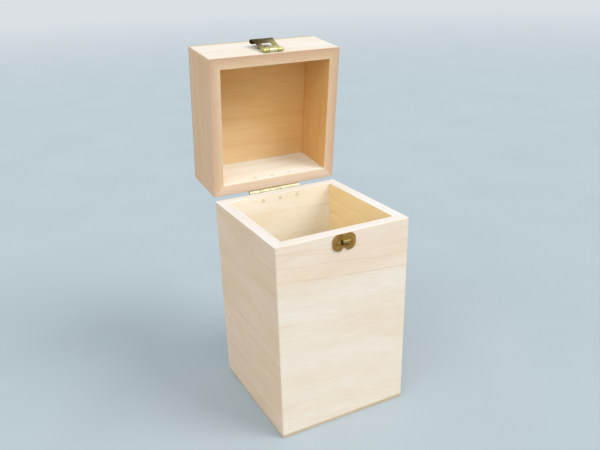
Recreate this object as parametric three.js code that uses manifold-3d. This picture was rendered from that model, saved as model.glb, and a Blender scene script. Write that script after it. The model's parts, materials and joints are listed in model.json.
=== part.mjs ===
// A small square wooden box with a deep hinged lid, a strip hinge at the back with a built-in
// stop, and a snap hasp at the front. Millimetres, +Z up, +X to the right seen from the front,
// the front faces -Y. The origin is the middle of the underside.
import * as THREE from 'three';
import { mergeVertices } from 'three/addons/utils/BufferGeometryUtils.js';
import Module from 'manifold-3d';

const wasm = await Module();
wasm.setup();

// Driving dimensions of the wooden box
const boxWidth = 100;
const boxDepth = 100;
const bodyHeight = 145;
const lidHeight = 40;
const boardThickness = 8;
const panelThickness = 3;
const cornerRadius = 1.2;
const lidOpenAngle = 83;

// Clearances: a glue line between boards, a seat under metal parts, a running fit in knuckles
const glueLine = 0.3;
const seatGap = 0.25;
const runningGap = 0.15;
const sideGap = 0.3;

// Strip hinge
const hingeOffset = -0.8;
const hingeLength = 42;
const hingeSheet = 0.8;
const hingePinRadius = 0.8;
const hingeKnuckles = 5;
const hingeLeafHeight = 5.4;
const hingeNailInset = 7;
const hingeCorner = 1.2;
const stopWidth = 5;
const stopReach = 4.4;

// Snap hasp on the lid: a plate, and a flap that swings on it. Folded back, the flap stands on
// its finger lip, haspLean degrees off the lid's face. Hinge, hasp and keeper were nailed on by
// hand, each by its own offset to the right of the middle.
const haspOffset = -1.8;
const haspPlateWidth = 17;
const haspPlateHeight = 8.6;
const haspSheet = 0.7;
const haspPinRadius = 0.55;
const haspAxisAboveSeam = 2.8;
const haspLean = 14;
const middleKnuckleLength = 6;
const flapWidth = 15;
const flapLength = 20.4;
const flareStart = 8;
const lipWidth = 18;
const lipCorner = 2.6;
const lipBend = 1.8;
const slotWidth = 7.6;
const slotHeight = 6.4;

// Keeper on the body, with the hook that the flap snaps over
const keeperOffset = -1;
const keeperWidth = 17;
const keeperHeight = 11.4;
const keeperBelowSeam = 0.7;
const hookWidth = 5;
const hookSheet = 0.8;
const hookDrop = 1.3;
const hookAboveMiddle = 2.2;
const mouthHeight = 3.6;
const plateNailInset = 4.1;
const lobeRadius = 4.3;
const notchRadius = 2;

// Round-headed brass nails
const nailRadius = 0.45;
const nailHeadRadius = 1.1;
const nailHeadHeight = 0.55;
const nailPoint = 1.1;
const nailShowsInside = 0.4;
const plateNailLength = 6;

// Sizes that follow from the ones above
const degree = Math.PI / 180;
const wallHeight = bodyHeight - panelThickness;
const lidWallHeight = lidHeight - panelThickness;
const knuckleRadius = hingePinRadius + runningGap + hingeSheet;
const hingeAxisBehind = knuckleRadius + seatGap;
const hingeBarrelClear = knuckleRadius + sideGap;
const hingeNailBelow = (hingeBarrelClear + hingeLeafHeight) / 2;
const hingeOuterNail = hingeLength / 2 - hingeNailInset;
const hingeRow = [-hingeOuterNail, 0, hingeOuterNail];
const nailHoleRadius = nailRadius + seatGap;
const hingeNailLength = boardThickness + seatGap + hingeSheet + nailShowsInside;
const haspBarrelRadius = haspPinRadius + runningGap + haspSheet;
const haspAxisInFront = haspBarrelRadius + seatGap;
const keeperMiddle = bodyHeight - keeperBelowSeam - keeperHeight / 2;
const hookRoot = keeperMiddle + hookAboveMiddle;
const hookReach = haspAxisInFront + haspBarrelRadius + sideGap - seatGap / 2;
const slotTop = haspAxisAboveSeam + bodyHeight - hookRoot - hookSheet / 2 - sideGap;

// The folded flap lies clear of the plate from plateStart on, and its lip just meets the lid
const lean = haspLean * degree;
const leanHeight = (along) => haspAxisInFront + along * Math.sin(lean) - haspBarrelRadius * Math.cos(lean);
const plateFront = seatGap + haspSheet;
const plateStart = (plateFront + seatGap - leanHeight(0)) / Math.sin(lean);
const lipReach = (leanHeight(flapLength) - seatGap) / Math.cos(lean);

// Materials
const paleWood = { color: 0xe9cfa9, roughness: 0.62, metalness: 0 };
const palePlywood = { color: 0xe2c196, roughness: 0.66, metalness: 0 };
const platedBrass = { color: 0xc9a24a, roughness: 0.34, metalness: 1 };
const pinWire = { color: 0xb39449, roughness: 0.4, metalness: 1 };

// A closed three.js geometry as a solid that can be joined and cut
function solidOf(geometry) {
  const plain = geometry.clone();
  for (const name of Object.keys(plain.attributes)) {
    if (name !== 'position') plain.deleteAttribute(name);
  }
  const merged = mergeVertices(plain, 1e-5);
  const corners = merged.index.array;
  const kept = [];
  for (let i = 0; i < corners.length; i += 3) {
    const [a, b, c] = [corners[i], corners[i + 1], corners[i + 2]];
    if (a !== b && b !== c && c !== a) kept.push(a, b, c);
  }
  return new wasm.Manifold(new wasm.Mesh({
    numProp: 3,
    vertProperties: new Float32Array(merged.attributes.position.array),
    triVerts: new Uint32Array(kept),
  }));
}

// A joined or cut solid back as a geometry with flat faces
function geometryOf(solid) {
  const mesh = solid.getMesh();
  const geometry = new THREE.BufferGeometry();
  geometry.setAttribute('position', new THREE.BufferAttribute(new Float32Array(mesh.vertProperties), 3));
  geometry.setIndex(new THREE.BufferAttribute(new Uint32Array(mesh.triVerts), 1));
  const flat = geometry.toNonIndexed();
  flat.computeVertexNormals();
  return flat;
}

function named(name, geometry, look) {
  const mesh = new THREE.Mesh(geometry, new THREE.MeshStandardMaterial(look));
  mesh.name = name;
  return mesh;
}

function at(piece, x, y, z) {
  piece.position.set(x, y, z);
  return piece;
}

// An outline drawn in plan and raised along Z
function raised(outline, height, steps = 8) {
  return new THREE.ExtrudeGeometry(outline, { depth: height, bevelEnabled: false, curveSegments: steps });
}

// An outline drawn as (y, z) and swept along X about x = middle
function sweptAlongX(outline, length, middle = 0, steps = 10) {
  const geometry = raised(outline, length, steps);
  geometry.translate(0, 0, -length / 2);
  const turn = new THREE.Matrix4().makeBasis(
    new THREE.Vector3(0, 1, 0),
    new THREE.Vector3(0, 0, 1),
    new THREE.Vector3(1, 0, 0),
  );
  geometry.applyMatrix4(turn);
  geometry.translate(middle, 0, 0);
  return geometry;
}

// An outline drawn as (x, z) and given a thickness from y = 0 towards -Y
function sheetFacingFront(outline, thickness, steps = 10) {
  const geometry = raised(outline, thickness, steps);
  geometry.rotateX(Math.PI / 2);
  return geometry;
}

// A round bar along X
function barAlongX(radius, length, middle = 0, sides = 20) {
  const geometry = new THREE.CylinderGeometry(radius, radius, length, sides);
  geometry.rotateZ(Math.PI / 2);
  geometry.translate(middle, 0, 0);
  return geometry;
}

// A round hole cutter along Y
function borerAlongY(radius, length, x, y, z, sides = 12) {
  const geometry = new THREE.CylinderGeometry(radius, radius, length, sides);
  geometry.translate(x, y, z);
  return geometry;
}

// The outline of a mitred board seen from above: outer face on y = 0, inner face on
// y = boardThickness, both ends cut at 45 degrees, and half of the eased corner at each end
function mitredOutline(length) {
  const setBack = glueLine / Math.SQRT2;
  const innerEnd = length / 2 - boardThickness - setBack;
  const arcCentre = length / 2 - cornerRadius;
  const arcStop = -Math.PI / 4 - Math.asin(setBack / (cornerRadius * Math.SQRT2));
  const outline = new THREE.Shape();
  outline.moveTo(innerEnd, boardThickness);
  outline.lineTo(-innerEnd, boardThickness);
  outline.absarc(-arcCentre, cornerRadius, cornerRadius, Math.PI - arcStop, 1.5 * Math.PI, false);
  outline.absarc(arcCentre, cornerRadius, cornerRadius, -Math.PI / 2, arcStop, false);
  outline.closePath();
  return outline;
}

// One board of a mitred frame; nail holes are given as places (x, z) on its outer face
function mitredBoard(name, length, height, nailPlaces) {
  let board = solidOf(raised(mitredOutline(length), height, 4));
  for (const [x, z] of nailPlaces) {
    const drill = borerAlongY(nailHoleRadius, 3 * boardThickness, x, boardThickness / 2, z);
    board = board.subtract(solidOf(drill));
  }
  return named(name, geometryOf(board), paleWood);
}

// Four boards round a square, standing on z = 0
function mitredFrame(prefix, height, frontNails, backNails) {
  const frame = new THREE.Group();
  const sides = [
    ['front', boxWidth, boxDepth, 0, frontNails],
    ['right', boxDepth, boxWidth, 90, []],
    ['back', boxWidth, boxDepth, 180, backNails],
    ['left', boxDepth, boxWidth, 270, []],
  ];
  for (const [side, length, across, turn, nails] of sides) {
    const holder = new THREE.Group();
    holder.rotation.z = turn * degree;
    holder.add(at(mitredBoard(`${prefix}_${side}`, length, height, nails), 0, -across / 2, 0));
    frame.add(holder);
  }
  return frame;
}

// A thin panel with the same eased corners as the boards that it is glued to
function panel(name) {
  const x = boxWidth / 2;
  const y = boxDepth / 2;
  const r = cornerRadius;
  const outline = new THREE.Shape();
  outline.absarc(x - r, y - r, r, 0, Math.PI / 2, false);
  outline.absarc(-x + r, y - r, r, Math.PI / 2, Math.PI, false);
  outline.absarc(-x + r, -y + r, r, Math.PI, 1.5 * Math.PI, false);
  outline.absarc(x - r, -y + r, r, 1.5 * Math.PI, 2 * Math.PI, false);
  outline.closePath();
  return named(name, raised(outline, panelThickness - glueLine, 6), palePlywood);
}

// The two nails of a pressed plate, one in each lobe
function plateNailPlaces(width) {
  return [-width / 2 + plateNailInset, width / 2 - plateNailInset];
}

// A round-headed nail: the head on +Y, the underside of the head on y = 0, the point towards -Y
function nail(name, length) {
  const profile = [
    new THREE.Vector2(0, -length),
    new THREE.Vector2(nailRadius, -length + nailPoint),
    new THREE.Vector2(nailRadius, 0),
    new THREE.Vector2(nailHeadRadius, 0),
  ];
  for (const share of [0.3, 0.6, 0.85]) {
    const angle = share * Math.PI / 2;
    profile.push(new THREE.Vector2(nailHeadRadius * Math.cos(angle), nailHeadHeight * Math.sin(angle)));
  }
  profile.push(new THREE.Vector2(0, nailHeadHeight));
  return named(name, geometryOf(solidOf(new THREE.LatheGeometry(profile, 12))), platedBrass);
}

// The middles of a hinge's knuckles; the even ones belong to the body's leaf
function knucklePlaces(total, length, parity) {
  const pitch = length / total;
  const places = [];
  for (let i = parity; i < total; i += 2) {
    places.push(-length / 2 + pitch * (i + 0.5));
  }
  return places;
}

// A rolled knuckle with its neck, about the pin's axis; the sheet leaves it downwards on the
// side that touches the wood, y = -radius
function knuckleOutline(radius, sheet, neck) {
  const outline = new THREE.Shape();
  outline.moveTo(-radius, -neck);
  outline.lineTo(-radius + sheet, -neck);
  const foot = Math.sqrt(radius * radius - (radius - sheet) * (radius - sheet));
  outline.lineTo(-radius + sheet, -foot);
  outline.absarc(0, 0, radius, Math.atan2(-foot, -radius + sheet), Math.PI, false);
  outline.closePath();
  return outline;
}

// One stop of the hinge: a shoulder pressed out of the leaf, whose face lies on a plane through
// the pin. The two leaves' shoulders meet there when the lid is open.
function stopOutline() {
  const halfAngle = (180 - lidOpenAngle) / 2 * degree;
  const along = new THREE.Vector2(Math.sin(halfAngle), -Math.cos(halfAngle));
  const off = new THREE.Vector2(-Math.cos(halfAngle), -Math.sin(halfAngle)).multiplyScalar(seatGap / 2);
  const near = along.clone().multiplyScalar(hingeBarrelClear + sideGap).add(off);
  const far = along.clone().multiplyScalar(stopReach).add(off);
  const face = -knuckleRadius + hingeSheet / 2;
  const outline = new THREE.Shape();
  outline.moveTo(face, -hingeBarrelClear - sideGap);
  outline.lineTo(face, -hingeLeafHeight + hingeCorner);
  outline.lineTo(far.x, far.y);
  outline.lineTo(near.x, near.y);
  outline.closePath();
  return outline;
}

// A hinge leaf about the pin's axis: the flat sheet hangs down against the wood at y = -radius
function hingeLeaf(name, parity) {
  const x = hingeLength / 2;
  const c = hingeCorner;
  const top = -hingeBarrelClear;
  const foot = -hingeLeafHeight;
  const outline = new THREE.Shape();
  outline.moveTo(x, top);
  outline.lineTo(-x, top);
  outline.absarc(-x + c, foot + c, c, Math.PI, 1.5 * Math.PI, false);
  outline.absarc(x - c, foot + c, c, 1.5 * Math.PI, 2 * Math.PI, false);
  outline.closePath();
  const sheet = sheetFacingFront(outline, hingeSheet, 5);
  sheet.translate(0, -knuckleRadius + hingeSheet, 0);
  let leaf = solidOf(sheet);
  const knuckleLength = hingeLength / hingeKnuckles - sideGap;
  const profile = knuckleOutline(knuckleRadius, hingeSheet, hingeBarrelClear + hingeSheet);
  for (const place of knucklePlaces(hingeKnuckles, hingeLength, parity)) {
    leaf = leaf.add(solidOf(sweptAlongX(profile, knuckleLength, place, 16)));
  }
  for (const place of [-hingeOuterNail / 2, hingeOuterNail / 2]) {
    leaf = leaf.add(solidOf(sweptAlongX(stopOutline(), stopWidth, place)));
  }
  leaf = leaf.subtract(solidOf(barAlongX(hingePinRadius + runningGap, 2 * hingeLength)));
  for (const place of hingeRow) {
    const drill = borerAlongY(nailHoleRadius, 4 * knuckleRadius, place, -knuckleRadius, -hingeNailBelow);
    leaf = leaf.subtract(solidOf(drill));
  }
  return named(name, geometryOf(leaf), platedBrass);
}

// The three nails of a hinge leaf, heads outwards, in the leaf's own frame
function hingeNails(prefix) {
  const nails = new THREE.Group();
  const seat = -knuckleRadius + hingeSheet + seatGap / 2;
  hingeRow.forEach((place, i) => {
    nails.add(at(nail(`${prefix}_nail_${i + 1}`, hingeNailLength), place, seat, -hingeNailBelow));
  });
  return nails;
}

// A pressed plate with round corners and a round notch in the middle of its foot, which leaves a
// lobe on each side, drawn as (x, z) about its middle
function lobedOutline(width, height) {
  const r = Math.min(lobeRadius, height / 2);
  const x = width / 2 - r;
  const z = height / 2 - r;
  const outline = new THREE.Shape();
  outline.moveTo(x, z + r);
  outline.absarc(-x, z, r, 0.5 * Math.PI, Math.PI, false);
  outline.absarc(-x, -z, r, Math.PI, 1.5 * Math.PI, false);
  outline.absarc(0, -z - r, notchRadius, Math.PI, 0, true);
  outline.absarc(x, -z, r, 1.5 * Math.PI, 2 * Math.PI, false);
  outline.absarc(x, z, r, 0, 0.5 * Math.PI, false);
  outline.closePath();
  return outline;
}

// The hasp's plate on the lid, in the frame of the hasp's pin: lobes above, one middle knuckle below
function haspPlate() {
  const middle = plateStart + haspPlateHeight / 2;
  const plate = sheetFacingFront(lobedOutline(haspPlateWidth, haspPlateHeight), haspSheet, 14);
  plate.rotateY(Math.PI);
  plate.translate(0, haspBarrelRadius, middle);
  const knuckle = sweptAlongX(
    knuckleOutline(haspBarrelRadius, haspSheet, middle), middleKnuckleLength, 0, 14,
  );
  knuckle.rotateX(Math.PI);
  let solid = solidOf(plate).add(solidOf(knuckle)).subtract(haspPinBore());
  for (const x of plateNailPlaces(haspPlateWidth)) {
    solid = solid.subtract(solidOf(borerAlongY(nailHoleRadius, 6 * haspBarrelRadius, x, 0, middle)));
  }
  return named('hasp_plate', geometryOf(solid), platedBrass);
}

function haspPinBore() {
  return solidOf(barAlongX(haspPinRadius + runningGap, 2 * flapWidth, 0, 16));
}

// The flap's side view as (y, z): a knuckle rolled inwards, a straight sheet over the keeper, and
// a finger lip bent outwards at the end
function flapProfile() {
  const outside = -haspBarrelRadius;
  const inside = outside + haspSheet;
  const bendY = outside - lipBend;
  const bendZ = -flapLength + lipBend + haspSheet;
  const foot = Math.sqrt(haspBarrelRadius ** 2 - inside ** 2);
  const profile = new THREE.Shape();
  profile.moveTo(outside, 0);
  profile.lineTo(outside, bendZ);
  profile.absarc(bendY, bendZ, lipBend, 0, -Math.PI / 2, true);
  profile.lineTo(-lipReach, bendZ - lipBend);
  profile.lineTo(-lipReach, -flapLength);
  profile.lineTo(bendY, -flapLength);
  profile.absarc(bendY, bendZ, lipBend + haspSheet, -Math.PI / 2, 0, false);
  profile.lineTo(inside, -foot);
  profile.absarc(0, 0, haspBarrelRadius, Math.atan2(-foot, inside), Math.PI, false);
  profile.closePath();
  return profile;
}

// The finger lip's outline seen from above, as (x, y): both outer corners are round
function lipOutline() {
  const half = lipWidth / 2;
  const back = 2 * haspBarrelRadius;
  const r = lipCorner;
  const outline = new THREE.Shape();
  outline.moveTo(half, back);
  outline.lineTo(-half, back);
  outline.absarc(-half + r, -lipReach + r, r, Math.PI, 1.5 * Math.PI, false);
  outline.absarc(half - r, -lipReach + r, r, 1.5 * Math.PI, 2 * Math.PI, false);
  outline.closePath();
  return outline;
}

// The flap's outline seen from the front, as (x, z): straight past the knuckles and the slot, then
// flared out to the finger lip's width
function flareOutline() {
  const half = flapWidth / 2;
  const tip = lipWidth / 2;
  const top = 2 * haspBarrelRadius;
  const bend = (flareStart + flapLength) / 2;
  const outline = new THREE.Shape();
  outline.moveTo(half, top);
  outline.lineTo(-half, top);
  outline.lineTo(-half, -flareStart);
  outline.quadraticCurveTo(-half, -bend, -tip, -flapLength - haspSheet);
  outline.lineTo(tip, -flapLength - haspSheet);
  outline.quadraticCurveTo(half, -bend, half, -flareStart);
  outline.closePath();
  return outline;
}

// The swinging flap in the frame of its pin, hanging down as it does when the box is shut: two
// outer knuckles, a cut-out between them for the plate's knuckle and neck, and the hook's slot
function haspFlap() {
  const blank = solidOf(sweptAlongX(flapProfile(), lipWidth, 0, 12));
  const lipShape = raised(lipOutline(), 2 * flapLength, 8);
  lipShape.translate(0, 0, -1.5 * flapLength);
  const flare = sheetFacingFront(flareOutline(), 4 * lipReach, 8);
  flare.translate(0, 2 * lipReach, 0);
  const neckWidth = middleKnuckleLength + 2 * sideGap;
  const neckDepth = haspBarrelRadius + plateStart;
  const neck = new THREE.BoxGeometry(neckWidth, 8 * haspBarrelRadius, neckDepth);
  neck.translate(0, 0, haspBarrelRadius - neckDepth / 2);
  const slot = new THREE.BoxGeometry(slotWidth, 8 * haspBarrelRadius, slotHeight);
  slot.translate(0, 0, -slotTop - slotHeight / 2);
  const solid = blank
    .intersect(solidOf(lipShape))
    .intersect(solidOf(flare))
    .subtract(solidOf(neck))
    .subtract(solidOf(slot))
    .subtract(haspPinBore());
  return named('hasp_flap', geometryOf(solid), platedBrass);
}

// The keeper's hook as (y, z) about the plate's middle: it stands out of the plate, turns down in
// front of the flap's slot and ends there
function hookOutline() {
  const root = hookAboveMiddle;
  const half = hookSheet / 2;
  const hook = new THREE.Shape();
  hook.moveTo(-haspSheet / 2, root + half);
  hook.lineTo(-hookReach, root + half);
  hook.absarc(-hookReach, root - half, hookSheet, 0.5 * Math.PI, Math.PI, false);
  hook.lineTo(-hookReach - hookSheet, root - half - hookDrop);
  hook.lineTo(-hookReach, root - half - hookDrop);
  hook.lineTo(-hookReach, root - half);
  hook.lineTo(-haspSheet / 2, root - half);
  hook.closePath();
  return hook;
}

// The keeper in its own frame: back face on y = 0, middle of the plate at z = 0. The mouth below
// the hook is where the hook was pressed out of the plate.
function keeper() {
  const plate = solidOf(sheetFacingFront(lobedOutline(keeperWidth, keeperHeight), haspSheet, 14));
  const hook = solidOf(sweptAlongX(hookOutline(), hookWidth, 0, 8));
  const mouthTop = hookAboveMiddle - hookSheet / 2;
  const mouth = new THREE.BoxGeometry(hookWidth, 4 * haspSheet, mouthHeight);
  mouth.translate(0, 0, mouthTop - mouthHeight / 2);
  let solid = plate.subtract(solidOf(mouth)).add(hook);
  for (const x of plateNailPlaces(keeperWidth)) {
    solid = solid.subtract(solidOf(borerAlongY(nailHoleRadius, 4 * haspSheet, x, 0, 0)));
  }
  return named('keeper', geometryOf(solid), platedBrass);
}

// Two nails of a pressed plate, heads towards -Y
function plateNails(prefix, width, y, z) {
  const nails = new THREE.Group();
  const [left, right] = plateNailPlaces(width);
  for (const [side, x] of [['left', left], ['right', right]]) {
    const piece = nail(`${prefix}_nail_${side}`, plateNailLength);
    piece.rotation.x = Math.PI;
    nails.add(at(piece, x, y, z));
  }
  return nails;
}

// Places of the nail holes, in each board's own frame
const haspPlateMiddle = haspAxisAboveSeam + plateStart + haspPlateHeight / 2;
const keeperNailHeight = keeperMiddle - panelThickness;
const keeperHoles = plateNailPlaces(keeperWidth).map((x) => [keeperOffset + x, keeperNailHeight]);
const haspHoles = plateNailPlaces(haspPlateWidth).map((x) => [haspOffset + x, haspPlateMiddle]);
const bodyHingeHoles = hingeRow.map((x) => [x - hingeOffset, wallHeight - hingeNailBelow]);
const lidHingeHoles = hingeRow.map((x) => [x - hingeOffset, hingeNailBelow]);

function body() {
  const group = new THREE.Group();
  group.add(panel('box_base'));
  group.add(at(mitredFrame('box', wallHeight, keeperHoles, bodyHingeHoles), 0, 0, panelThickness));
  const front = -boxDepth / 2 - seatGap / 2;
  const fitting = new THREE.Group();
  fitting.add(keeper());
  fitting.add(plateNails('keeper', keeperWidth, -haspSheet - seatGap / 2, 0));
  group.add(at(fitting, keeperOffset, front, keeperMiddle));
  return group;
}

function hingeBodySide() {
  const group = new THREE.Group();
  group.add(hingeLeaf('hinge_leaf_box', 0));
  group.add(hingeNails('hinge_box'));
  group.add(named('hinge_pin', barAlongX(hingePinRadius, hingeLength - sideGap), pinWire));
  return group;
}

// The lid's leaf is the body's leaf turned over
function hingeLidSide() {
  const group = new THREE.Group();
  group.add(hingeLeaf('hinge_leaf_lid', 1));
  group.add(hingeNails('hinge_lid'));
  group.rotation.y = Math.PI;
  return group;
}

// The lid as it lies when the box is shut, standing on z = 0 at the seam
function lid() {
  const group = new THREE.Group();
  group.add(mitredFrame('lid', lidWallHeight, haspHoles, lidHingeHoles));
  group.add(at(panel('lid_top'), 0, 0, lidWallHeight + glueLine));
  const pin = new THREE.Group();
  pin.add(haspPlate());
  pin.add(named('hasp_pin', barAlongX(haspPinRadius, flapWidth - sideGap, 0, 16), pinWire));
  const seat = haspBarrelRadius - haspSheet - seatGap / 2;
  pin.add(plateNails('hasp', haspPlateWidth, seat, haspPlateMiddle - haspAxisAboveSeam));
  const swing = new THREE.Group();
  swing.rotation.x = lean - Math.PI;
  swing.add(haspFlap());
  pin.add(swing);
  group.add(at(pin, haspOffset, -boxDepth / 2 - haspAxisInFront, haspAxisAboveSeam));
  return group;
}

const box = new THREE.Group();
box.add(body());
box.add(at(hingeBodySide(), hingeOffset, boxDepth / 2 + hingeAxisBehind, bodyHeight));

// The lid and its half of the hinge, turned open about the hinge pin
const opened = new THREE.Group();
opened.rotation.x = -lidOpenAngle * degree;
opened.add(at(hingeLidSide(), hingeOffset, 0, 0));
opened.add(at(lid(), 0, -boxDepth / 2 - hingeAxisBehind, 0));
box.add(at(opened, 0, boxDepth / 2 + hingeAxisBehind, bodyHeight));

export default box;
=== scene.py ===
"""A small square box of pale limewood with a deep hinged lid, a strip hinge and a snap hasp.
Metres, +Z up, and the front faces -Y. The pieces' main sizes and places come from the frame."""

import json
import math

import bmesh
import bpy
import numpy as np
from mathutils import Matrix, Vector

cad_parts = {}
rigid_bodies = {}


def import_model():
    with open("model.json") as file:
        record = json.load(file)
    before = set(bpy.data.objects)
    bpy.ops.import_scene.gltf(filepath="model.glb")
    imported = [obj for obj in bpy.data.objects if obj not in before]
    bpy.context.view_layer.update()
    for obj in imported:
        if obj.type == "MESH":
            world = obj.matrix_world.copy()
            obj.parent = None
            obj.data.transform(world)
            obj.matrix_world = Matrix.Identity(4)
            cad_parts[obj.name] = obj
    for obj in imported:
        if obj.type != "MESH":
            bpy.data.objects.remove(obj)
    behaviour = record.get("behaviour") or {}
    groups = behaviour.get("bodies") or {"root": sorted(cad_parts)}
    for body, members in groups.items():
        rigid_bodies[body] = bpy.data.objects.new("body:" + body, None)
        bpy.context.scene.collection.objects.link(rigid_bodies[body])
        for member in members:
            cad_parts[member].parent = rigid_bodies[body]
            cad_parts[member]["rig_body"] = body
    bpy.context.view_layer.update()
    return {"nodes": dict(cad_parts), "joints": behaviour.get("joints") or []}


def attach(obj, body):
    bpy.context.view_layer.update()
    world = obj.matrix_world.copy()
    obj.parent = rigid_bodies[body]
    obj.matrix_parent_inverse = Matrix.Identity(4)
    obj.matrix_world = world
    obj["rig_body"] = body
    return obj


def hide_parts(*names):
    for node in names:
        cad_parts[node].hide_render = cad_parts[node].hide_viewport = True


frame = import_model()

# The boards
# Eight boards of limewood, 8 mm thick: four round the body and four round the lid, mitred at the
# corners and glued. The box was glued and sanded as one closed block, and then the lid was sawn off.
mm = 0.001
hairline = 0.02 * mm  # the air that is left between pieces that meet
rim_arris = 0.45 * mm  # edges that are sanded by hand
glued_arris = 0.08 * mm  # edges that meet in a glue line
corner_radius = 1.2 * mm
arris_steps = 4
corner_steps = 6
sharp_angle = math.radians(38)  # where faces meet at more than this, the edge is seen as an edge
face_skin = 1 / 6  # the share of the thickness that has the outside's tone, and the inside's
joints = {joint["name"]: joint for joint in frame["joints"]}
lid_closing = math.radians(joints["lid_hinge"]["range_deg"][1])
hinge_pin_place = Vector(joints["lid_hinge"]["pos_m"])
# Takes a point of the shut lid to where it lies at rest, with the lid open
opening_turn = (
    Matrix.Translation(hinge_pin_place)
    @ Matrix.Rotation(-lid_closing, 4, "X")
    @ Matrix.Translation(-hinge_pin_place)
)


def turned(points, matrix):
    """Each point multiplied by the matrix's turn and moved by its last column."""
    m = np.array(matrix)
    return points @ m[:3, :3].T + m[:3, 3]


def at_rest(points, body):
    """Points of a piece that was laid out with the lid shut, where they lie when it is open."""
    return turned(points, opening_turn) if body == "lid" else points


def closed_box(node):
    """Lowest and highest corner of a CAD node, in metres, as it lies when the lid is shut."""
    found = frame["nodes"][node]
    points = np.empty(len(found.data.vertices) * 3)
    found.data.vertices.foreach_get("co", points)
    points = points.reshape(-1, 3)
    if found["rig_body"] != "box":
        points = turned(points, opening_turn.inverted())
    return points.min(0), points.max(0)


def linear(hex_colour):
    """An sRGB colour as linear red, green, blue and 1: a straight line close to black, and a
    power of 2.4 above it."""
    srgb = np.array([int(hex_colour[i : i + 2], 16) for i in (1, 3, 5)]) / 255
    low = srgb / 12.92
    high = ((srgb + 0.055) / 1.055) ** 2.4
    return (*np.where(srgb <= 0.04045, low, high), 1)


def add_node(tree, kind, sockets=(), **settings):
    """Adds a node. Settings are its own, and its sockets are given in order or by name or number;
    each takes a value, another node's output, or a node, which stands for its first output."""
    node = tree.nodes.new("ShaderNode" + kind)
    for name, value in settings.items():
        setattr(node, name, value)
    if not isinstance(sockets, dict):
        sockets = dict(enumerate(sockets))
    for name, value in sockets.items():
        if isinstance(value, bpy.types.Node):
            value = value.outputs[0]
        if isinstance(value, bpy.types.NodeSocket):
            tree.links.new(value, node.inputs[name])
        else:
            node.inputs[name].default_value = value
    return node


def new_material(name):
    """An empty material and its node tree."""
    material = bpy.data.materials.new(name)
    material.use_nodes = True
    material.node_tree.nodes.clear()
    return material, material.node_tree


def stops(ramp, colours):
    """The colour ramp with its stops set to (place, sRGB hex) pairs."""
    elements = ramp.color_ramp.elements
    for place, _ in colours[2:]:
        elements.new(place)
    for element, (place, colour) in zip(elements, colours):
        element.position = place
        element.color = linear(colour)
    return ramp


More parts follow.
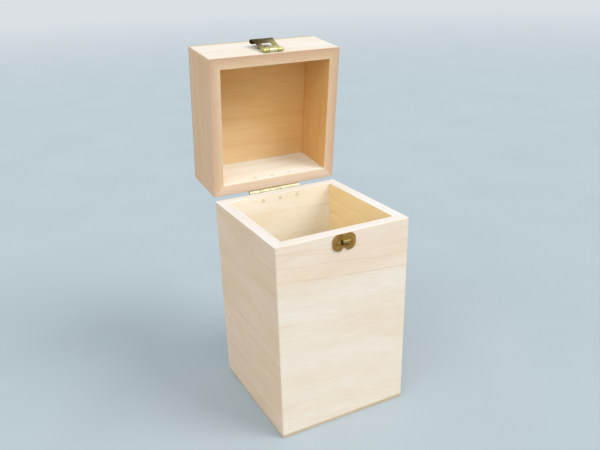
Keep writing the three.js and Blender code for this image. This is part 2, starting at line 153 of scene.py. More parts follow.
def sanded_wood(name, outside, inside, inner_shade, side_shade=None, rim=None, inner_rim=None, plies=None):
    """Pale close-grained wood, sawn, sanded and left raw: even and matt, so its growth rings and
    fibres only just show. The attribute log says where a point lay in the trunk, in millimetres
    along it and across it from the pith; face says how far it is inside, on a sawn rim and on a
    side painted darker and warmer as shade; the third attribute says how much of the inside is
    painted amber as shade, how many millimetres above a dark growth line a point lies and how
    strong that line is; ply says how deep a point lies in a panel and whether it is on its edge.
    A ring's place is the distance from the pith plus noise,
    divided by the rings' spacing. A tone that is left out is the outside's."""
    ring_spacing, ring_wander = 7.5, 6.0
    # How dark the wood is at each share of a year's growth, its start and end first
    year_tones = ((0, 0.25), (1, 0.2), (0.1, 0.04), (0.55, 0.1), (0.86, 0.45), (0.95, 0.95))
    wander_length, wander_width = 120, 30
    stretch_length, stretch_width = 160, 14  # how far the rings stay strong or faint
    faint_ring, strong_ring = 0.05, 0.4
    fibre_length, fibre_width = 16, 0.8  # real fibres are finer; at this width they just show
    patch_length, patch_width = 85, 22
    line_half_width, tone_blend = 1.0, 3.0
    waver_length, waver_width, break_size = 40, 9, 30
    saw_mark_spacing = 1.1
    wave_scale = 0.314  # a wave texture of this scale repeats every unit
    relief_depth, ring_relief = 0.03 * mm, -0.6
    lowest_roughness, highest_roughness = 0.58, 0.74
    eased = {"interpolation_type": "SMOOTHSTEP"}
    material, tree = new_material(name)
    log, face, heart = (
        add_node(tree, "Attribute", attribute_name=title).outputs["Vector"]
        for title in ("log", "face", "heart")
    )
    _, up, deep = add_node(tree, "SeparateXYZ", [log]).outputs
    inside_share, rim_share, side_shade_share = add_node(tree, "SeparateXYZ", [face]).outputs
    inner_shade_share, above_line, line_share = add_node(tree, "SeparateXYZ", [heart]).outputs

    def grained_noise(length, width, detail):
        """Noise that is long along the grain and narrow across it, mostly from 0.3 to 0.7."""
        scale = (1 / length, 1 / width, 1 / width)
        stretched = add_node(tree, "Mapping", {"Vector": log, "Scale": scale})
        sockets = {"Vector": stretched, "Scale": 1, "Detail": detail, "Roughness": 0.6}
        return add_node(tree, "TexNoise", sockets)

    # The rings: pale early wood that darkens slowly and ends in a narrow dark edge
    across = add_node(tree, "CombineXYZ", (0, up, deep))
    radius = add_node(tree, "VectorMath", [across], operation="LENGTH").outputs["Value"]
    wander = grained_noise(wander_length, wander_width, 2)
    shifted = add_node(tree, "Math", (wander, ring_wander, radius), operation="MULTIPLY_ADD")
    years = add_node(tree, "Math", (shifted, ring_spacing), operation="DIVIDE")
    year = add_node(tree, "Math", [years], operation="FRACT")
    latewood = add_node(tree, "FloatCurve", {"Value": year})
    points = latewood.mapping.curves[0].points
    points[0].location, points[1].location = year_tones[:2]
    for share, tone in year_tones[2:]:
        points.new(share, tone)
    latewood.mapping.update()
    stretches = grained_noise(stretch_length, stretch_width, 1)
    strength = add_node(tree, "MapRange", (stretches, 0.38, 0.68, faint_ring, strong_ring), **eased)
    rings = add_node(tree, "Math", (latewood, strength), operation="MULTIPLY")

    # The growth line wavers and breaks off in places, and the wood above it has a tone of its own
    waver = grained_noise(waver_length, waver_width, 2)
    wavering = add_node(tree, "Math", (above_line, waver), operation="ADD")
    off_the_line = add_node(tree, "Math", [wavering], operation="ABSOLUTE")
    on_the_line = add_node(tree, "MapRange", (off_the_line, 0, line_half_width, 1, 0), **eased)
    breaks = grained_noise(break_size, break_size, 2)
    unbroken = add_node(tree, "MapRange", (breaks, 0.35, 0.65), **eased)
    present = add_node(tree, "Math", (unbroken, line_share), operation="MULTIPLY")
    line = add_node(tree, "Math", (on_the_line, present), operation="MULTIPLY")
    beyond = add_node(tree, "MapRange", (above_line, -tone_blend, tone_blend), **eased)
    above = add_node(tree, "Math", (beyond, line_share), operation="MULTIPLY")

    # The colour: one tone for each kind of surface, and the pattern's tints multiplied over them.
    # A Mix node's two colours are its sockets 6 and 7, and the mixed one is its output 2.
    # The side, inside and rim tones are painted light and shade, shared out by the boards' attributes
    outside_tone, inside_tone, rim_tone = (
        add_node(tree, "Mix", {0: share, 6: linear(tone), 7: linear(other)}, data_type="RGBA").outputs[2]
        for share, tone, other in (
            (side_shade_share, outside, side_shade or outside),
            (inner_shade_share, inside, inner_shade),
            (inside_share, rim or outside, inner_rim or outside),
        )
    )
    patches = grained_noise(patch_length, patch_width, 3)
    fibres = grained_noise(fibre_length, fibre_width, 4)
    layers = [
        (inside_share, inside_tone, "MIX"),
        (rim_share, rim_tone, "MIX"),
        (add_node(tree, "MapRange", (patches, 0.3, 0.7), **eased), linear("#fcf6ed"), "MULTIPLY"),
        (rings, linear("#ecdcc4"), "MULTIPLY"),
        (line, linear("#f4ecde"), "MULTIPLY"),
        (above, linear("#fff9f4"), "MULTIPLY"),
        (add_node(tree, "MapRange", (fibres, 0.3, 0.7), **eased), linear("#f9f5ee"), "MULTIPLY"),
    ]
    if plies:
        ply = add_node(tree, "Attribute", attribute_name="ply").outputs["Vector"]
        depth, edge_share, _ = add_node(tree, "SeparateXYZ", [ply]).outputs
        layers.append((edge_share, stops(add_node(tree, "ValToRGB", [depth]), plies), "MULTIPLY"))
    colour = outside_tone
    for share, tone, blend in layers:
        sockets = {0: share, 6: colour, 7: tone}
        colour = add_node(tree, "Mix", sockets, data_type="RGBA", blend_type=blend).outputs[2]

    # The relief: fibres stand up, the dark edges of the rings sink, and the saw marked the rims
    wave = {"Vector": log, "Scale": wave_scale / saw_mark_spacing, "Distortion": 2.0}
    saw_marks = add_node(tree, "TexWave", wave).outputs["Fac"]
    sawn = add_node(tree, "Math", (saw_marks, rim_share), operation="MULTIPLY")
    relief = add_node(tree, "Math", (rings, ring_relief, fibres), operation="MULTIPLY_ADD")
    height = add_node(tree, "Math", (relief, sawn), operation="ADD")
    polish = (fibres, 0.2, 0.8, lowest_roughness, highest_roughness)
    look = {
        "Base Color": colour,
        "Roughness": add_node(tree, "MapRange", polish, **eased),
        "Normal": add_node(tree, "Bump", {"Height": height, "Strength": 0.5, "Distance": relief_depth}),
        "IOR": 1.5,
        "Specular IOR Level": 0.3,
    }
    shader = add_node(tree, "BsdfPrincipled", look)
    add_node(tree, "OutputMaterial", {"Surface": shader})
    return material


def put_in_scene(name, data):
    """A new object that shows this mesh, lamp or camera."""
    made = bpy.data.objects.new(name, data)
    bpy.context.scene.collection.objects.link(made)
    return made


def finished_piece(name, mesh, materials, body, slot_name, *nodes):
    """Makes a mesh a piece that rides on a body and stands for these CAD nodes."""
    for material in materials:
        mesh.materials.append(material)
    mesh.polygons.foreach_set("use_smooth", np.ones(len(mesh.polygons), bool))
    mesh.set_sharp_from_angle(angle=sharp_angle)
    made = put_in_scene(name, mesh)
    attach(made, body)
    if nodes:
        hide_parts(*nodes)
    return made


def keep_faces_flat(made):
    """Large faces keep their own normal, and only the narrow ones round an edge turn it."""
    weighted = made.modifiers.new("flat_faces", "WEIGHTED_NORMAL")
    weighted.keep_sharp = True


def round_section(thickness, height, foot, rim):
    """A rectangle with quarter circles for corners, as (depth, height), from the inner foot up
    the inner face, over the rim and down the outer face."""
    quarter = np.linspace(0, math.pi / 2, arris_steps + 1)
    corners = (
        (thickness - foot, foot, foot, -0.5 * math.pi),
        (thickness - rim, height - rim, rim, 0.0),
        (rim, height - rim, rim, 0.5 * math.pi),
        (foot, foot, foot, math.pi),
    )
    arcs = [
        np.stack([x + r * np.cos(start + quarter), z + r * np.sin(start + quarter)], 1)
        for x, z, r, start in corners
    ]
    return np.concatenate(arcs)


def mitred_board(length, thickness, section):
    """A grid of (along, depth, height), stations by section points. The outer line runs straight
    and then round an eighth of a turn, the inner line straight to the mitre, and a section point
    at a share of the depth lies at that share of the way from the outer line to the inner one."""
    eighth = np.linspace(0, 1, corner_steps + 1)
    angle = eighth * math.pi / 4
    half = length / 2 - hairline
    outer_along = half - corner_radius * (1 - np.sin(angle))
    outer = np.stack([outer_along, corner_radius * (1 - np.cos(angle))], 1)
    inner_along = half - thickness - (1 - eighth) * corner_radius
    inner = np.stack([inner_along, np.full_like(angle, thickness)], 1)
    mirror = np.array([-1, 1])
    outer = np.concatenate([outer[::-1] * mirror, outer])
    inner = np.concatenate([inner[::-1] * mirror, inner])
    share = section[None, :, :1] / thickness
    plan = outer[:, None] * (1 - share) + inner[:, None] * share
    heights = np.broadcast_to(section[None, :, 1:], (*plan.shape[:2], 1))
    return np.concatenate([plan, heights], 2)


def closed_tube(grid):
    """Faces of a grid whose rows are closed rings: quads between the rings, and a face over each
    end, all facing out."""
    rings, around = grid.shape[:2]
    number = np.arange(rings * around).reshape(rings, around)
    after = np.roll(number, -1, axis=1)
    quads = np.stack([number[:-1], after[:-1], after[1:], number[1:]], -1).reshape(-1, 4)
    return quads.tolist() + [number[0][::-1].tolist(), number[-1].tolist()]


def surface_mesh(name, points, faces, **attributes):
    """A mesh with the vector attributes that its material's pattern follows."""
    mesh = bpy.data.meshes.new(name)
    mesh.from_pydata(points.reshape(-1, 3).tolist(), [], faces)
    for title, values in attributes.items():
        attribute = mesh.attributes.new(title, "FLOAT_VECTOR", "POINT")
        attribute.data.foreach_set("vector", np.stack(values, -1).astype(np.float32).ravel())
    mesh.validate()
    return mesh


def in_the_log(along, depth, height, pith_height, pith_depth, slope, trunk_place):
    """Places in the trunk in millimetres: along it, and up and in from its pith, which climbs by
    slope along the board."""
    up = height / mm - pith_height - slope * along / mm
    return along / mm + trunk_place, up, depth / mm - pith_depth


def inner_share(depth, thickness):
    """0 in the skin of the outer face, 1 in that of the inner face, and between them the share of
    the way that a point is from one to the other."""
    return np.clip((depth / thickness - face_skin) / (1 - 2 * face_skin), 0, 1)


# One wood, with light and shade painted into its tones: insides that lie in shade are painted
# amber, lit ones near white, and shaded sides darker and warmer. The lid's tones are darker. The
# rims have the sawn end grain's tone with painted light and shade over it: the body's, which face
# up, near white as if lit, and the lid's pinkish and darker at their outer half and paler at the
# inner one
limewood_body = sanded_wood(
    "sanded_limewood_body",
    outside="#eae2d8",
    inside="#fcf9f0",
    inner_shade="#fee8b3",
    side_shade="#e5d1bb",
    rim="#e9ecef",
    inner_rim="#e9ecef",
)
limewood_lid = sanded_wood(
    "sanded_limewood_lid",
    outside="#e5e3df",
    inside="#f7fcfb",
    inner_shade="#e4b97a",
    side_shade="#dabb9b",
    rim="#d3b299",
    inner_rim="#e6cbab",
)
# The growth line that crosses the front, as high as this at the middle and falling to the right
line_height, line_slope = 115.4, -0.093
# Each board: the way that it faces; its place in the trunk, as the pith's height and depth, the
# grain's slope and how far along; and how much painted shade darkens and warms its outside, how
# much painted amber shade its inside has, its growth line and how much of the rim's tone, with
# its painted light and shade, it has
walls = (
    ("box", "front", 0, (41.1, 60, line_slope, 500), (0.0, 0.1, 1.0, 1.0)),
    ("box", "right", 90, (150, 45, 0.03, 900), (0.1, 1.0, 0.0, 1.0)),
    ("box", "back", 180, (20, -80, 0.02, 1300), (0.0, 0.0, 0.0, 1.0)),
    ("box", "left", 270, (95, 38, -0.02, 1700), (1.0, 0.0, 0.0, 1.0)),
    ("lid", "front", 0, (-60, 50, 0.02, 2100), (0.0, 0.9, 0.0, 1.0)),
    ("lid", "right", 90, (70, 30, 0.04, 2500), (0.2, 1.0, 0.0, 1.0)),
    ("lid", "back", 180, (-30, -55, -0.03, 2900), (0.0, 0.0, 0.0, 0.7)),
    ("lid", "left", 270, (60, -35, 0.05, 3300), (1.0, 0.8, 0.0, 1.0)),
)
outer_low, outer_high = closed_box("box_base")
outer_size = outer_high - outer_low
for body, side, facing, trunk, (side_shade, inner_shade, line, rim_tone) in walls:
    node = f"{body}_{side}"
    low, high = closed_box(node)
    along_axis, depth_axis = (0, 1) if facing in (0, 180) else (1, 0)
    thickness = high[depth_axis] - low[depth_axis]
    height = high[2] - low[2] - hairline
    rim_is_up = body == "box"
    foot = low[2] if rim_is_up else low[2] + hairline
    foot_round, rim_round = (glued_arris, rim_arris) if rim_is_up else (rim_arris, glued_arris)
    section = round_section(thickness, height, foot_round, rim_round)
    grid = mitred_board(outer_size[along_axis], thickness, section)
    along, depth, up = (grid[..., i] for i in range(3))
    rim = height if rim_is_up else 0
    # The rim's tone is the sawn end grain's, with painted light and shade over it
    on_rim = np.clip(1 - np.abs(up - rim) / rim_arris, 0, 1) * rim_tone
    same = np.ones_like(up)
    face = (inner_share(depth, thickness), on_rim, side_shade * same)
    above_line = (up + foot - line_slope * along) / mm - line_height
    heart = (inner_shade * same, above_line, line * same)
    log = in_the_log(along, depth, up, *trunk)
    local = np.stack([along, depth - outer_size[depth_axis] / 2, up + foot], -1).reshape(-1, 3)
    place = at_rest(turned(local, Matrix.Rotation(math.radians(facing), 4, "Z")), body)
    mesh = surface_mesh(node, place, closed_tube(grid), log=log, face=face, heart=heart)
    wood = limewood_body if body == "box" else limewood_lid
    keep_faces_flat(finished_piece(node + "_board", mesh, [wood], body, "board", node))

# The two panels
# The bottom of the box and the top of the lid: squares of thin plywood glued on to the edges of
# the boards and sanded flush with them. Their edges show the three plies and the glue between.
panel_arris = 0.5 * mm
edge_lines = 9  # lines of points up a panel's side
# The painted amber shade inside the lid gives way to a painted patch of light from the middle of
# its panel towards the lower left corner, by this share at the most, and by these two for each
# half width to the left and down
lit_patch_strength, lit_patch_leftward, lit_patch_downward = 0.95, 0.9, 1.0


def panel_surface(half_x, half_y, thickness, corner, free, glued):
    """Rings round a slab: a rounded rectangle that is drawn in by an inset at each height, up
    the free edge's quarter circle, up the side and over the glued edge's quarter circle."""
    quarter = np.linspace(0, math.pi / 2, arris_steps + 1)
    side = np.linspace(free, thickness - glued, edge_lines)[1:-1]
    free_inset, glued_inset = free * (1 - np.sin(quarter)), glued * (1 - np.cos(quarter))
    inset = np.concatenate([free_inset, np.zeros_like(side), glued_inset])
    free_height, glued_height = free * (1 - np.cos(quarter)), thickness - glued * (1 - np.sin(quarter))
    height = np.concatenate([free_height, side, glued_height])
    corner_turn = np.linspace(0, math.pi / 2, corner_steps + 1)
    turn = np.concatenate([corner_turn + q * math.pi / 2 for q in range(4)])
    sign_x = np.repeat([1, -1, -1, 1], corner_steps + 1)
    sign_y = np.repeat([1, 1, -1, -1], corner_steps + 1)
    radius = corner - inset[:, None]
    x = sign_x * (half_x - corner) + radius * np.cos(turn)
    y = sign_y * (half_y - corner) + radius * np.sin(turn)
    into_a_face = np.concatenate([1 - np.sin(quarter), np.zeros_like(side), 1 - np.cos(quarter)])
    on_edge = np.broadcast_to(1 - into_a_face[:, None], x.shape)
    return np.stack([x, y, np.broadcast_to(height[:, None], x.shape)], -1), on_edge


plywood = sanded_wood(
    "sanded_birch_plywood",
    outside="#e0d8c9",
    inside="#f4e7cf",
    inner_shade="#edc17f",
    plies=[
        (0.0, "#f4f0ec"),
        (0.3, "#efebe6"),
        (0.34, "#c9bcaa"),
        (0.38, "#dfd6ca"),
        (0.62, "#dbd2c6"),
        (0.66, "#c5b8a6"),
        (0.7, "#efebe6"),
        (1.0, "#f4f0ec"),
    ],
)
# Each panel: its body, a board that it is glued to, its place in the trunk, and how much painted amber shade
# its inside has
panels = (
    ("box_base", "box", "box_front", (35, -70, 0.02, 4000), 0.0),
    ("lid_top", "lid", "lid_front", (-45, 80, -0.03, 4400), 1.0),
)
for node, body, wall, trunk, inner_shade in panels:
    low, high = closed_box(node)
    wall_low, wall_high = closed_box(wall)
    half = outer_size[:2] / 2
    joint_gap = wall_low[2] - low[2] if body == "box" else high[2] - wall_high[2]
    thickness = joint_gap - hairline
    grid, on_edge = panel_surface(*half, thickness, corner_radius, panel_arris, glued_arris)
    x, y, z = (grid[..., i] for i in range(3))
    inside = inner_share(z, thickness) * (1 - on_edge)
    lit_patch = np.clip(-lit_patch_leftward * x / half[0] - lit_patch_downward * y / half[1], 0, 1)
    zero = np.zeros_like(inside)
    attributes = {
        "log": in_the_log(x, z, y, *trunk),
        "face": (inside, zero, zero),
        "heart": (inner_shade * (1 - lit_patch_strength * lit_patch), zero, zero),
        "ply": (z / thickness, on_edge, zero),
    }
    # The base lies on its outer face, and the lid's panel is the same slab turned over
    way_up = (1, 1, 1) if body == "box" else (1, -1, -1)
    outer_face = low[2] if body == "box" else high[2]
    place = at_rest(grid.reshape(-1, 3) * way_up + (0, 0, outer_face), body)
    mesh = surface_mesh(node, place, closed_tube(grid), **attributes)
    keep_faces_flat(finished_piece(node + "_panel", mesh, [plywood], body, "panel", node))

# The sheet metal
# Thin steel sheet, pressed and rolled, and plated with brass: the strip hinge with its pin, the
# hasp's plate, pin and flap, and the keeper. Their edges are as round as a press leaves them.
sheet_edge = 0.1 * mm
edge_segments = 2
weld_distance = 0.001 * mm  # corners nearer than this are one
flat_angle = math.radians(0.5)  # faces that meet at less than this are one
hook_root = 1.2 * mm  # the hook starts this far out from the keeper's back
hook_sheet = 0.9 * mm  # the depth of its bend, down from its top
hasp_pin_place = np.array(joints["hasp_swing"]["pos_m"])


def rubbed_metal(name, bright, dull, dark, smooth, rough, second_colour=None):
    """Thin brass plating on pressed steel, a yellow metal that leans to olive, or drawn steel
    wire: half matt, with fine rubbing marks and a faint bloom, darker and rougher, where it has
    tarnished. An attribute of the mesh, where a piece has one, blends in a second colour."""
    mark_length, mark_width, mark_depth = 3 * mm, 0.12 * mm, 0.01 * mm
    bloom_size = 3.5 * mm
    material, tree = new_material(name)
    place = add_node(tree, "TexCoord").outputs["Object"]
    mark_scale = (1 / mark_length, 1 / mark_width, 1 / mark_width)
    mark_place = add_node(tree, "Mapping", {"Vector": place, "Scale": mark_scale})
    marks = add_node(tree, "TexNoise", {"Vector": mark_place, "Scale": 1, "Detail": 3})
    bloom = add_node(tree, "TexNoise", {"Vector": place, "Scale": 1 / bloom_size, "Detail": 4})
    colour = stops(add_node(tree, "ValToRGB", [bloom]), [(0.28, dark), (0.45, dull), (0.7, bright)])
    if second_colour:
        second_tone = add_node(tree, "Attribute", attribute_name="second_tone").outputs["Fac"]
        colour = add_node(tree, "Mix", {0: second_tone, 6: colour, 7: linear(second_colour)}, data_type="RGBA").outputs[2]
    look = {
        "Base Color": colour,
        "Metallic": 1.0,
        "Roughness": add_node(tree, "MapRange", (bloom, 0, 1, rough, smooth)),
        "Normal": add_node(tree, "Bump", {"Height": marks, "Strength": 0.25, "Distance": mark_depth}),
    }
    shader = add_node(tree, "BsdfPrincipled", look)
    add_node(tree, "OutputMaterial", {"Surface": shader})
    return material


def flap_painted_shade(points):
    """Painted shade and a painted dark reflection on the flap: from none near the pin to all before
    the lip, by the share of the flap's reach, and sooner on the left than on the right."""
    left_lead, shade_start, shade_blend = 0.25, 0.3, 0.45
    away = points - hasp_pin_place
    reach = np.hypot(away[:, 1], away[:, 2])
    share = reach / reach.max() - left_lead * away[:, 0] / np.abs(away[:, 0]).max()
    return np.clip((share - shade_start) / shade_blend, 0, 1)


def hook_tone(points):
    """Where the keeper takes a darker olive colour: 1 on the hook and 0 on the plate. The hook is all that
    stands further out than its root, and the bend behind that, as wide as it."""
    x, y, z = points.T
    stands_out = y.max() - y > hook_root
    low, high = points[stands_out].min(0), points[stands_out].max(0)
    bent = (low[0] <= x) & (x <= high[0]) & (high[2] - hook_sheet <= z) & (z <= high[2])
    return bent | stands_out


def soft_edged(node, material, slot_name, second_tone=None):
    """A copy of a CAD piece whose triangles are joined into flat faces and whose sharp edges are
    rounded as a pressed sheet's are."""
    source = frame["nodes"][node]
    mesh = source.data.copy()
    mesh.materials.clear()
    work = bmesh.new()
    work.from_mesh(mesh)
    bmesh.ops.remove_doubles(work, verts=work.verts, dist=weld_distance)
    bmesh.ops.dissolve_limit(work, angle_limit=flat_angle, verts=work.verts, edges=work.edges)
    work.to_mesh(mesh)
    work.free()
    if second_tone:
        points = np.empty(len(mesh.vertices) * 3, np.float32)
        mesh.vertices.foreach_get("co", points)
        attribute = mesh.attributes.new("second_tone", "FLOAT", "POINT")
        attribute.data.foreach_set("value", second_tone(points.reshape(-1, 3)).astype(np.float32))
    made = finished_piece(node + "_piece", mesh, [material], source["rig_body"], slot_name, node)
    bevel = made.modifiers.new("pressed_edges", "BEVEL")
    bevel.width = sheet_edge
    bevel.segments = edge_segments
    bevel.limit_method = "ANGLE"
    bevel.angle_limit = sharp_angle
    bevel.harden_normals = True


# Each metal: its bright, dull and dark tones, and its roughness where it is bright and where dark
brass = rubbed_metal("plated_brass", "#c7a564", "#b1894a", "#835c30", 0.4, 0.55)
# The hinge, its pin and the hasp's plate: the same brass painted paler, as it looks brightly lit
brass_painted_lit = rubbed_metal("plated_brass_painted_lit", "#e0ddc4", "#dbd5b4", "#cbc099", 0.5, 0.66)
rubbed_brass = rubbed_metal("rubbed_brass", "#c39c57", "#af8244", "#7c522b", 0.42, 0.56, second_colour="#a08f50")
# The flap's dark brown second colour is painted shade and a painted dark reflection
brass_with_painted_shade = rubbed_metal("brass_with_painted_shade", "#d2cb90", "#c3b97a", "#a4954b", 0.5, 0.64, second_colour="#4e391d")
for node in ("hinge_leaf_box", "hinge_leaf_lid", "hasp_plate"):
    soft_edged(node, brass_painted_lit, "brass")
soft_edged("hasp_flap", brass_with_painted_shade, "brass", flap_painted_shade)
soft_edged("keeper", rubbed_brass, "brass", hook_tone)
for node, material in (("hinge_pin", brass_painted_lit), ("hasp_pin", brass)):
    soft_edged(node, material, "pin")

# The keeper's mouth
# Under the hook the plate is open, and the shade in the hollow there is painted: a thin dark skin
# between the plate and the wood stands for that shade.
mouth_half_width, mouth_half_height = 2.7 * mm, 2.0 * mm
mouth_corner = 0.5 * mm
skin = 0.06 * mm
skin_edge = skin / 3


def painted_shade_skin(name):
    """Painted shade: a dark brown, matt colour in cloudy patches, for the shadow under the keeper's hook."""
    patch_size, patch_relief = 0.8 * mm, 0.02 * mm
    material, tree = new_material(name)
    place = add_node(tree, "TexCoord").outputs["Object"]
    cloud = add_node(tree, "TexNoise", {"Vector": place, "Scale": 1 / patch_size, "Detail": 3})
    look = {
        "Base Color": stops(add_node(tree, "ValToRGB", [cloud]), [(0.35, "#2b1a08"), (0.65, "#4a3010")]),
        "Roughness": 0.85,
        "Normal": add_node(tree, "Bump", {"Height": cloud, "Strength": 0.4, "Distance": patch_relief}),
    }
    shader = add_node(tree, "BsdfPrincipled", look)
    add_node(tree, "OutputMaterial", {"Surface": shader})
    return material


keeper_low, keeper_high = closed_box("keeper")
plate_middle = (keeper_low + keeper_high) / 2
front_low, _ = closed_box("box_front")
grid, _ = panel_surface(mouth_half_width, mouth_half_height, skin, mouth_corner, skin_edge, skin_edge)
x, y, z = (grid[..., i] for i in range(3))
place = np.stack([x + plate_middle[0], front_low[1] - hairline - skin + z, plate_middle[2] - y], -1)
mouth = surface_mesh("keeper_mouth", place, closed_tube(grid))
finished_piece("keeper_mouth", mouth, [painted_shade_skin("painted_brown_shade")], "box", "brass")

# The nails
# Short steel nails with round brass-plated heads, ten in all. Those of the hinge go right through
# the back boards, so their points show inside, each in a small ring of torn and bruised fibres.
nail_wire = 0.9 * mm  # the diameter of the shank
nail_point = 1.1 * mm
head_height = 0.55 * mm
round_steps = 32
dome_steps = 8
burr_steps = 8
burr_radius, burr_width, burr_height = 0.95 * mm, 0.5 * mm, 0.2 * mm
# The burr swells and shrinks by these shares, so many times round the nail
slow_swell, slow_waves = 0.22, 3
quick_swell, quick_waves = 0.16, 7


def lathed(profile, x, y, z, towards_front):
    """The profile's (radius, along) points turned about a line along Y through (x, z), with
    along measured from y towards the front or the back."""
    turn = np.linspace(0, 2 * math.pi, round_steps, endpoint=False)
    radius, along = profile[:, :1], profile[:, 1:]
    way = -1 if towards_front else 1
    ring_y = np.broadcast_to(y + way * along, (len(profile), round_steps))
    return np.stack([x + way * radius * np.cos(turn), ring_y, z - radius * np.sin(turn)], -1)


def nail_profile(length, head_radius):
    """From the point up the shank and over the head, a quarter of an ellipse, as (radius, along);
    both ends stop just off the axis, where a small face closes them."""
    tip_radius, crown_radius = 0.1 * nail_wire, 0.02 * head_radius
    dome = np.linspace(0, math.pi / 2, dome_steps + 1)
    head = np.stack([head_radius * np.cos(dome), head_height * np.sin(dome)], 1)
    head[-1, 0] = crown_radius
    tip = head_height - length
    shank = [[tip_radius, tip], [nail_wire / 2, tip + nail_point], [nail_wire / 2, 0]]
    return np.concatenate([np.array(shank), head])


def torn_ring(x, y, z):
    """An ellipse turned about a nail, whose width and height are multiplied by 1 and two sine
    waves that go round the nail, so that the ring is as uneven as torn fibres."""
    turn = np.linspace(0, 2 * math.pi, round_steps, endpoint=False)
    around = np.linspace(0, 2 * math.pi, burr_steps, endpoint=False)[:, None]
    slow = slow_swell * np.sin(slow_waves * turn + z / mm)
    quick = quick_swell * np.sin(quick_waves * turn + x / mm)
    ragged = 1 + slow + quick
    radius = burr_radius + burr_width * ragged * np.cos(around)
    out = y - burr_height * ragged * np.sin(around)
    return np.stack([x + radius * np.cos(turn), out, z + radius * np.sin(turn)], -1)


def closed_both_ways(grid):
    """Faces of a grid that closes on itself along both of its directions, as a ring does."""
    number = np.arange(grid.shape[0] * grid.shape[1]).reshape(grid.shape[:2])
    after = np.roll(number, -1, axis=1)
    corners = (number, after, np.roll(after, -1, axis=0), np.roll(number, -1, axis=0))
    return np.stack(corners, -1).reshape(-1, 4).tolist()


def bruised_wood(name):
    """End fibres of limewood bruised by a nail: rough, matt and a little darker than the board."""
    tuft, tuft_height = 0.35 * mm, 0.05 * mm
    material, tree = new_material(name)
    place = add_node(tree, "TexCoord").outputs["Object"]
    tufts = add_node(tree, "TexNoise", {"Vector": place, "Scale": 1 / tuft, "Detail": 3})
    look = {
        "Base Color": stops(add_node(tree, "ValToRGB", [tufts]), [(0.35, "#dccba6"), (0.65, "#efe2c4")]),
        "Roughness": 0.9,
        "Normal": add_node(tree, "Bump", {"Height": tufts, "Strength": 0.8, "Distance": tuft_height}),
    }
    shader = add_node(tree, "BsdfPrincipled", look)
    add_node(tree, "OutputMaterial", {"Surface": shader})
    return material


torn_wood = bruised_wood("bruised_limewood")
bright_steel = rubbed_metal("bright_steel_wire", "#aca79c", "#989285", "#675f55", 0.3, 0.5)
for node in sorted(n for n in frame["nodes"] if "_nail_" in n):
    low, high = closed_box(node)
    body = frame["nodes"][node]["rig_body"]
    x, z = (low[0] + high[0]) / 2, (low[2] + high[2]) / 2
    towards_front = not node.startswith("hinge")
    seat = low[1] + head_height if towards_front else high[1] - head_height
    profile = nail_profile(high[1] - low[1], (high[0] - low[0]) / 2)
    grid = lathed(profile, x, seat, z, towards_front)
    mesh = surface_mesh(node, at_rest(grid.reshape(-1, 3), body), closed_tube(grid))
    finished_piece(node + "_piece", mesh, [brass, bright_steel], body, "brass", node)
    # The point and the shank, two bands of faces and the tip's own, are bright wire
    bands = np.repeat(np.arange(len(profile) - 1) < 2, round_steps)
    steel = np.concatenate([bands, [True, False]])
    mesh.polygons.foreach_set("material_index", steel.astype(np.int32))
    if towards_front:
        continue
    inner_face = closed_box(f"{body}_back")[0][1]
    grid = torn_ring(x, inner_face, z)
    ring = surface_mesh(node + "_burr", at_rest(grid.reshape(-1, 3), body), closed_both_ways(grid))
    finished_piece(node.replace("_nail_", "_burr_"), ring, [torn_wood], body, "board")

# The floor
# A plain floor of matt pale paint, slightly uneven in tone, that fades into the backdrop well
# away from the box.
floor_half = 6.0
fade_start, fade_end = 1.2, 4.5
cloud_size = 111 * mm
corners = np.array([[-1, -1, 0], [1, -1, 0], [1, 1, 0], [-1, 1, 0]]) * floor_half
floor_mesh = bpy.data.meshes.new("floor")
floor_mesh.from_pydata(corners.tolist(), [], [(0, 1, 2, 3)])
floor = put_in_scene("floor", floor_mesh)
floor_material, tree = new_material("matt_painted_floor")
place = add_node(tree, "TexCoord").outputs["Object"]
clouds = add_node(tree, "TexNoise", {"Vector": place, "Scale": 1 / cloud_size, "Detail": 3})
floor_colour = stops(add_node(tree, "ValToRGB", [clouds]), [(0.3, "#a8b6be"), (0.7, "#acbac2")])
floor_shader = add_node(tree, "BsdfPrincipled", {"Base Color": floor_colour, "Roughness": 0.8})
distance = add_node(tree, "VectorMath", [place], operation="LENGTH").outputs["Value"]
fading = (distance, fade_start, fade_end)
faded = add_node(tree, "MapRange", fading, interpolation_type="SMOOTHSTEP")
see_through = add_node(tree, "BsdfTransparent")
floor_mix = add_node(tree, "MixShader", (faded, floor_shader, see_through))
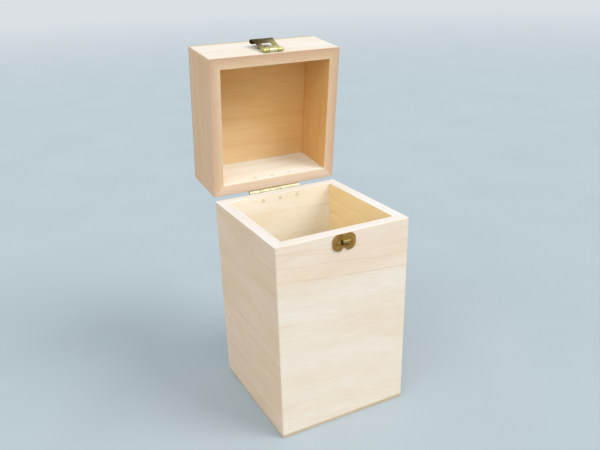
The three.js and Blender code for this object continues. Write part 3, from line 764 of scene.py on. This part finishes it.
add_node(tree, "OutputMaterial", {"Surface": floor_mix})
floor_mesh.materials.append(floor_material)

# The light
# A soft lamp from the right of the front, one from overhead, and an even pale sky all round.
# Each lamp: its strength, its width in degrees, its colour, and the way towards it
lamps = (
    ("key", 1.83, 36, "#fffaf2", (1.0, -1.0, 1.2)),
    ("overhead", 1.15, 70, "#ffffff", (-0.9, -0.6, 1.0)),
)
for name, strength, width, colour, direction in lamps:
    lamp_data = bpy.data.lights.new(name, "SUN")
    lamp_data.energy = strength
    lamp_data.angle = math.radians(width)
    lamp_data.color = linear(colour)[:3]
    lamp = put_in_scene(name, lamp_data)
    lamp.rotation_mode = "QUATERNION"
    lamp.rotation_quaternion = Vector(direction).to_track_quat("Z", "Y")
world = bpy.data.worlds.new("studio")
bpy.context.scene.world = world
world.use_nodes = True
world.node_tree.nodes.clear()
tree = world.node_tree
sky = add_node(tree, "Background", {"Color": linear("#f6f8fa"), "Strength": 0.69})
backdrop = add_node(tree, "Background", {"Color": linear("#dbe0e4"), "Strength": 1.0})
# The sky only lights the box: the camera and mirrors see the backdrop
rays = add_node(tree, "LightPath")
seen = rays.outputs["Is Camera Ray"]
for kind in ("Is Glossy Ray", "Is Transmission Ray"):
    seen = add_node(tree, "Math", (seen, rays.outputs[kind]), operation="MAXIMUM").outputs[0]
mixed = add_node(tree, "MixShader", (seen, sky, backdrop))
add_node(tree, "OutputWorld", {"Surface": mixed})

# The camera
# It stands in front and to the left, above the box, and looks down into it. Its lens, shift,
# place and turn are fitted to the corners of the box in the photo.
camera_data = bpy.data.cameras.new("camera")
camera_data.lens = 39.0
camera_data.sensor_width = 36.0
camera_data.shift_x = 0.0096
camera_data.shift_y = 0.0533
camera_data.clip_start = 0.01
camera = put_in_scene("camera", camera_data)
camera.location = (-0.2009, -0.3775, 0.3026)
camera.rotation_euler = [math.radians(degrees) for degrees in (65.57, 1.66, -27.36)]
bpy.context.scene.camera = camera
bpy.context.scene.view_settings.view_transform = "Standard"
